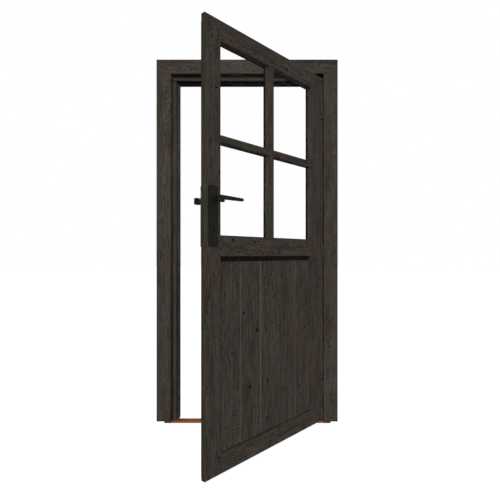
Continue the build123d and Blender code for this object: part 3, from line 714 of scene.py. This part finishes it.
def grip_body(hub, thick, middle_y, tip_x):
    """A lever's grip: a rounded section at its hub, drawn out along X to a smaller, rounded tip."""
    metal = bpy.context.scene.door_metal
    start_x = 0.3 * hub
    below_spindle = 0.0034
    start_height = hub + below_spindle
    tip_height = 0.0133
    bpy.ops.object.select_all(action="DESELECT")
    bpy.ops.mesh.primitive_plane_add(
        size=1, location=(start_x, middle_y, hub - start_height / 2), rotation=(0, math.pi / 2, 0)
    )
    grip = bpy.context.object
    bpy.ops.object.mode_set(mode="EDIT")
    bpy.ops.transform.resize(value=(1, thick, start_height), center_override=grip.location)
    bpy.ops.mesh.bevel(offset=metal.round_over, segments=4, affect="VERTICES")
    # Each draw is a step, and the share of its size that the section then keeps
    stations = 8
    step_x = (tip_x - tip_height / 2 - start_x) / stations
    heights = [start_height + (tip_height - start_height) * i / stations for i in range(stations + 1)]
    draws = []
    for height, lower in zip(heights, heights[1:]):
        step_z = (height - lower) / 2 - metal.fall / stations
        draws.append(((step_x, 0, step_z), (1, 1, lower / height)))
    turns = 7
    last_angle = math.radians(84)
    flattening = 0.35
    angles = [last_angle * i / turns for i in range(turns + 1)]
    for a, b in zip(angles, angles[1:]):
        shrink = math.cos(b) / math.cos(a)
        round_x = tip_height / 2 * (math.sin(b) - math.sin(a))
        draws.append(((round_x, 0, 0), (1, shrink**flattening, shrink)))
    centre = Vector(grip.location)
    for step, share in draws:
        bpy.ops.mesh.extrude_region_move(TRANSFORM_OT_translate={"value": step})
        centre += Vector(step)
        bpy.ops.transform.resize(value=share, center_override=centre)
    bpy.ops.object.mode_set(mode="OBJECT")
    return grip


def lever_body(low, high, outer):
    """A cast lever in the leaf's own space: a grip, a square hub and a neck, fused with soft edges."""
    metal = bpy.context.scene.door_metal
    thick = 0.014
    neck_radius = 0.009
    hub_edge = 0.003
    hub = high.z
    middle_y = low.y + thick / 2 if outer else high.y - thick / 2
    root = high.y if outer else low.y
    grip = grip_body(hub, thick, middle_y, high.x)
    square = block((2 * hub, thick, 2 * hub), (0, middle_y, 0))
    bevel_edges(square, crosses(thick), metal.hub_corner, 6)
    apply_modifier(square, "BEVEL", width=hub_edge, segments=4, limit_method="ANGLE")
    neck = rod(neck_radius, (root, middle_y), sides=48)
    select_only(grip, square, neck)
    bpy.ops.object.join()
    bpy.ops.object.transform_apply(location=True, rotation=True, scale=True)
    bpy.ops.object.mode_set(mode="EDIT")
    bpy.ops.mesh.select_all(action="SELECT")
    bpy.ops.mesh.normals_make_consistent(inside=False)
    bpy.ops.object.mode_set(mode="OBJECT")
    apply_modifier(grip, "REMESH", mode="VOXEL", voxel_size=metal.voxel)
    apply_modifier(grip, "SMOOTH", factor=0.5, iterations=4)
    bpy.ops.object.shade_smooth()
    return grip


class DOOR_OT_levers(bpy.types.Operator):
    """Cast the two lever handles"""

    bl_idname = "door.levers"
    bl_label = "Levers"

    def execute(self, context):
        coat = bpy.data.materials["black_coat"]
        for node, outer in (("outer_lever", True), ("inner_lever", False)):
            low, high = leaf_extent(node)
            piece = lever_body(low, high, outer)
            settle(piece, f"cast_{node}", LEAF_SPACE, "handle", "black_metal", coat, node)
        return {"FINISHED"}


def backplate_body(low, high, outer, bolts):
    """A backplate in the leaf's own space, with rounded front edges, a boss, bolt holes and a keyhole."""
    metal = bpy.context.scene.door_metal
    seat = high.y if outer else low.y
    away = -1 if outer else 1
    thick = high.y - low.y - metal.boss_height
    front = seat + away * thick
    centre = ((low.x + high.x) / 2, seat + away * thick / 2, (low.z + high.z) / 2)
    plate = block((high.x - low.x, thick, high.z - low.z), centre)
    bevel_edges(plate, crosses(thick), metal.plate_corner, 8)
    bevel_edges(plate, lies_at(front), metal.plate_edge, 4)
    top = front + away * metal.boss_height
    boss = rod(metal.boss, (seat, top))
    bevel_edges(boss, lies_at(top), metal.plate_edge, 4)
    combine(plate, boss, "UNION")
    through = (low.y - metal.boss_height, high.y + metal.boss_height)
    combine(plate, rod(metal.neck_hole, through), "DIFFERENCE")
    combine(plate, rod(metal.key_round, through, 0, -metal.key_drop), "DIFFERENCE")
    slot_size = (metal.key_slot, through[1] - through[0], metal.key_length)
    slot_centre = (0, sum(through) / 2, -metal.key_drop - metal.key_length / 2)
    combine(plate, block(slot_size, slot_centre), "DIFFERENCE")
    for bolt_x, bolt_z, radius in bolts:
        combine(plate, rod(radius, through, bolt_x, bolt_z, sides=32), "DIFFERENCE")
    select_only(plate)
    bpy.ops.object.shade_smooth_by_angle(angle=math.radians(30))
    return plate


class DOOR_OT_backplates(bpy.types.Operator):
    """Make the two long backplates"""

    bl_idname = "door.backplates"
    bl_label = "Backplates"

    def execute(self, context):
        coat = bpy.data.materials["black_coat"]
        heads = []
        for face, radius, _ in driven_places("plate_bolts", OUTWARD):
            place = LEAF_SPACE.inverted() @ face
            heads.append((place.x, place.z, radius))
        for node, outer, bolts in (("outer_backplate", True, ()), ("inner_backplate", False, heads)):
            low, high = leaf_extent(node)
            plate = backplate_body(low, high, outer, bolts)
            settle(plate, f"rounded_{node}", LEAF_SPACE, "leaf", "black_metal", coat, node)
        return {"FINISHED"}


# Which way each group of screws is driven, and its finish
SCREWS = {
    "hinge_frame_screws": (ACROSS, "brown_coat"),
    "hinge_leaf_screws": (-ALONG, "brown_coat"),
    "strike_screws": (-ACROSS, "black_coat"),
    "lock_screws": (ALONG, "zinc_plate"),
    "frame_screws": (-UP, "zinc_plate"),
    "plate_bolts": (OUTWARD, "black_coat"),
}


def toward(driven):
    """The turn that points -Z along a direction."""
    return driven.to_track_quat("-Z", "Y").to_matrix()


def driven_places(node, driven):
    """For each screw of a CAD node: the middle of its head's face, its head's radius and its length."""
    source = frame["nodes"][node]
    copy = source.copy()
    copy.data = source.data.copy()
    bpy.context.scene.collection.objects.link(copy)
    select_only(copy)
    bpy.ops.object.mode_set(mode="EDIT")
    bpy.ops.mesh.select_all(action="SELECT")
    bpy.ops.mesh.remove_doubles(threshold=0.00001)
    bpy.ops.mesh.separate(type="LOOSE")
    bpy.ops.object.mode_set(mode="OBJECT")
    turn = toward(driven)
    places = []
    for part in list(bpy.context.selected_objects):
        low, high = extent([turn.transposed() @ v.co for v in part.data.vertices])
        middle = (low + high) / 2
        face = turn @ Vector((middle.x, middle.y, high.z))
        places.append((face, max(high.x - low.x, high.y - low.y) / 2, high.z - low.z))
        bpy.data.objects.remove(part)
    return sorted(places, key=lambda place: tuple(round(c, 5) for c in place[0]))


def screw(head, long):
    """A countersunk cross-head screw, its head's face at the origin and its point down -Z."""
    bpy.ops.object.select_all(action="DESELECT")
    bpy.ops.mesh.primitive_circle_add(vertices=32, radius=head, fill_type="NGON")
    piece = bpy.context.object
    bpy.ops.object.mode_set(mode="EDIT")
    rim = 0.0003
    cone = 0.55 * head
    shank = 0.5 * head
    point = 2 * shank
    for drop, radius, before in (
        (rim, head, head),
        (cone, shank, head),
        (long - rim - cone - point, shank, shank),
        (point, 0.1 * shank, shank),
    ):
        bpy.ops.mesh.extrude_region_move(TRANSFORM_OT_translate={"value": (0, 0, -drop)})
        share = radius / before
        bpy.ops.transform.resize(value=(share, share, 1), center_override=(0, 0, 0))
    bpy.ops.mesh.select_all(action="SELECT")
    bpy.ops.mesh.normals_make_consistent(inside=False)
    bpy.ops.object.mode_set(mode="OBJECT")
    blade, width, deep = 1.15 * head, 0.26 * head, 0.9 * head
    for size in ((blade, width, deep), (width, blade, deep)):
        combine(piece, block(size, (0, 0, 0)), "DIFFERENCE")
    return piece


def drive(pattern, places, driven):
    """One piece of a screw's copies, each driven at its place, with its head a hair above its seat."""
    proud = 0.00005
    copies = []
    for face, _, _ in places:
        one = pattern.copy()
        one.data = pattern.data.copy()
        bpy.context.scene.collection.objects.link(one)
        one.matrix_world = Matrix.Translation(face - driven * proud) @ toward(driven).to_4x4()
        copies.append(one)
    bpy.data.objects.remove(pattern)
    select_only(*copies)
    bpy.ops.object.join()
    return bpy.context.object


class DOOR_OT_screws(bpy.types.Operator):
    """Drive cross-head screws through the hinges, the strike, the lock, the plates and the jambs"""

    bl_idname = "door.screws"
    bl_label = "Screws"

    def execute(self, context):
        for node, (driven, finish) in SCREWS.items():
            places = driven_places(node, driven)
            _, head, long = places[0]
            joined = drive(screw(head, long), places, driven)
            body = frame["nodes"][node]["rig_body"]
            slot_name = "zinc_steel" if finish == "zinc_plate" else "black_metal"
            coat = bpy.data.materials[finish]
            settle(joined, f"driven_{node}", Matrix(), body, slot_name, coat, node)
        return {"FINISHED"}


def seen_only(tree):
    """1 for rays that show the background itself, and 0 for rays that light the object."""
    path = add(tree, "ShaderNodeLightPath")
    seen = math_node(tree, "MAXIMUM", path.outputs["Is Camera Ray"], path.outputs["Is Glossy Ray"])
    return math_node(tree, "MAXIMUM", seen, path.outputs["Is Transmission Ray"])


def by_ray(tree, light, seen):
    """A shader that is one thing as light and another where it is seen."""
    inputs = {0: seen_only(tree), 1: light.outputs[0], 2: seen.outputs[0]}
    return add(tree, "ShaderNodeMixShader", inputs).outputs[0]


def floor_finish():
    """A floor seen as white with the object's faint shadow, which lights the undersides little."""
    made = bpy.data.materials.new("pale_floor")
    tree = fresh_tree(made)
    grey, dark, glow_strength = 0.5, 0.03, 0.87
    shade = add(tree, "ShaderNodeBsdfDiffuse", {"Color": (grey, grey, grey, 1)})
    glow = add(tree, "ShaderNodeEmission", {"Strength": glow_strength})
    white = add(tree, "ShaderNodeAddShader", {0: shade.outputs[0], 1: glow.outputs[0]})
    dim = add(tree, "ShaderNodeBsdfDiffuse", {"Color": (dark, dark, dark, 1)})
    add(tree, "ShaderNodeOutputMaterial", {"Surface": by_ray(tree, dim, white)})
    return made


def light_world(strength):
    """White where it is seen; as light, bright above and nearly black below the horizon."""
    world = bpy.data.worlds.new("studio")
    tree = fresh_tree(world)
    direction = add(tree, "ShaderNodeTexCoord").outputs["Generated"]
    height = add(tree, "ShaderNodeSeparateXYZ", {0: direction}).outputs["Z"]
    level = spread(tree, height, -0.02, 0.12, 0.01, 1.0)
    level = math_node(tree, "MULTIPLY", level, strength)
    white = (1, 1, 1, 1)
    light = add(tree, "ShaderNodeBackground", {"Color": white, "Strength": level})
    seen = add(tree, "ShaderNodeBackground", {"Color": white, "Strength": 1.0})
    add(tree, "ShaderNodeOutputWorld", {"Surface": by_ray(tree, light, seen)})
    bpy.context.scene.world = world


# The lamps: where each shines, its breadth in degrees and whether it casts shadows
LAMPS = {
    "key": ((0.06, 1.0, -0.09), 8, True),
    "side": ((-0.5, 0.87, -0.16), 14, False),
    "fill": ((0.4, -1.0, -0.5), 40, True),
}


def soft_sun(name, strength):
    """A soft lamp, the same on near and far pieces, whose own disc isn't seen through the panes."""
    direction, breadth, shadows = LAMPS[name]
    bpy.ops.object.light_add(type="SUN")
    lamp = bpy.context.object
    lamp.name = name
    lamp.data.energy = strength
    lamp.data.angle = math.radians(breadth)
    lamp.data.use_shadow = shadows
    lamp.visible_transmission = False
    lamp.rotation_euler = Vector(direction).to_track_quat("-Z", "Y").to_euler()


class DOOR_OT_stage(bpy.types.Operator):
    """Lay the floor, hang the lights and place the camera"""

    bl_idname = "door.stage"
    bl_label = "Stage"

    def execute(self, context):
        stage = context.scene.door_stage
        under_feet = (0, 0, -0.0005)
        bpy.ops.mesh.primitive_plane_add(size=stage.floor, location=under_feet)
        floor = bpy.context.object
        floor.name = "floor"
        bpy.ops.object.transform_apply(location=True)
        floor.data.materials.append(floor_finish())
        light_world(stage.sky)
        for name in LAMPS:
            soft_sun(name, getattr(stage, name))
        bpy.ops.object.camera_add(location=stage.camera, rotation=(math.pi / 2, 0, 0))
        camera = bpy.context.object
        camera.data.lens = stage.lens
        camera.data.shift_x = stage.shift_x
        camera.data.shift_y = stage.shift_y
        context.scene.camera = camera
        context.scene.view_settings.view_transform = "Standard"
        return {"FINISHED"}


class DOOR_PT_panel(bpy.types.Panel):
    """The door's settings and steps"""

    bl_label = "Stable Door"
    bl_idname = "DOOR_PT_panel"
    bl_space_type = "VIEW_3D"
    bl_region_type = "UI"
    bl_category = "Stable Door"

    def draw(self, context):
        for group in GROUPS:
            settings = getattr(context.scene, group)
            box = self.layout.box()
            for name in settings.__annotations__:
                box.prop(settings, name)
        for operator in STEPS:
            self.layout.operator(operator.bl_idname)


GROUPS = {
    "door_wood": StainedWood,
    "door_hardwood": Hardwood,
    "door_metal": Metalwork,
    "door_stage": Stage,
}
STEPS = (
    DOOR_OT_stage,
    DOOR_OT_stained_wood,
    DOOR_OT_sill,
    DOOR_OT_glazing,
    DOOR_OT_metalwork,
    DOOR_OT_levers,
    DOOR_OT_backplates,
    DOOR_OT_screws,
)


def register():
    """Registers the settings, the steps and the panel."""
    for one in (*GROUPS.values(), *STEPS, DOOR_PT_panel):
        bpy.utils.register_class(one)
    for name, group in GROUPS.items():
        setattr(bpy.types.Scene, name, PointerProperty(type=group))


def unregister():
    """Takes the settings, the steps and the panel away again."""
    for name in GROUPS:
        delattr(bpy.types.Scene, name)
    for one in (DOOR_PT_panel, *reversed(STEPS), *GROUPS.values()):
        bpy.utils.unregister_class(one)


def main():
    """Runs every step on the CAD model."""
    register()
    for operator in STEPS:
        space, name = operator.bl_idname.split(".")
        getattr(getattr(bpy.ops, space), name)()


if __name__ == "__main__":
    main()
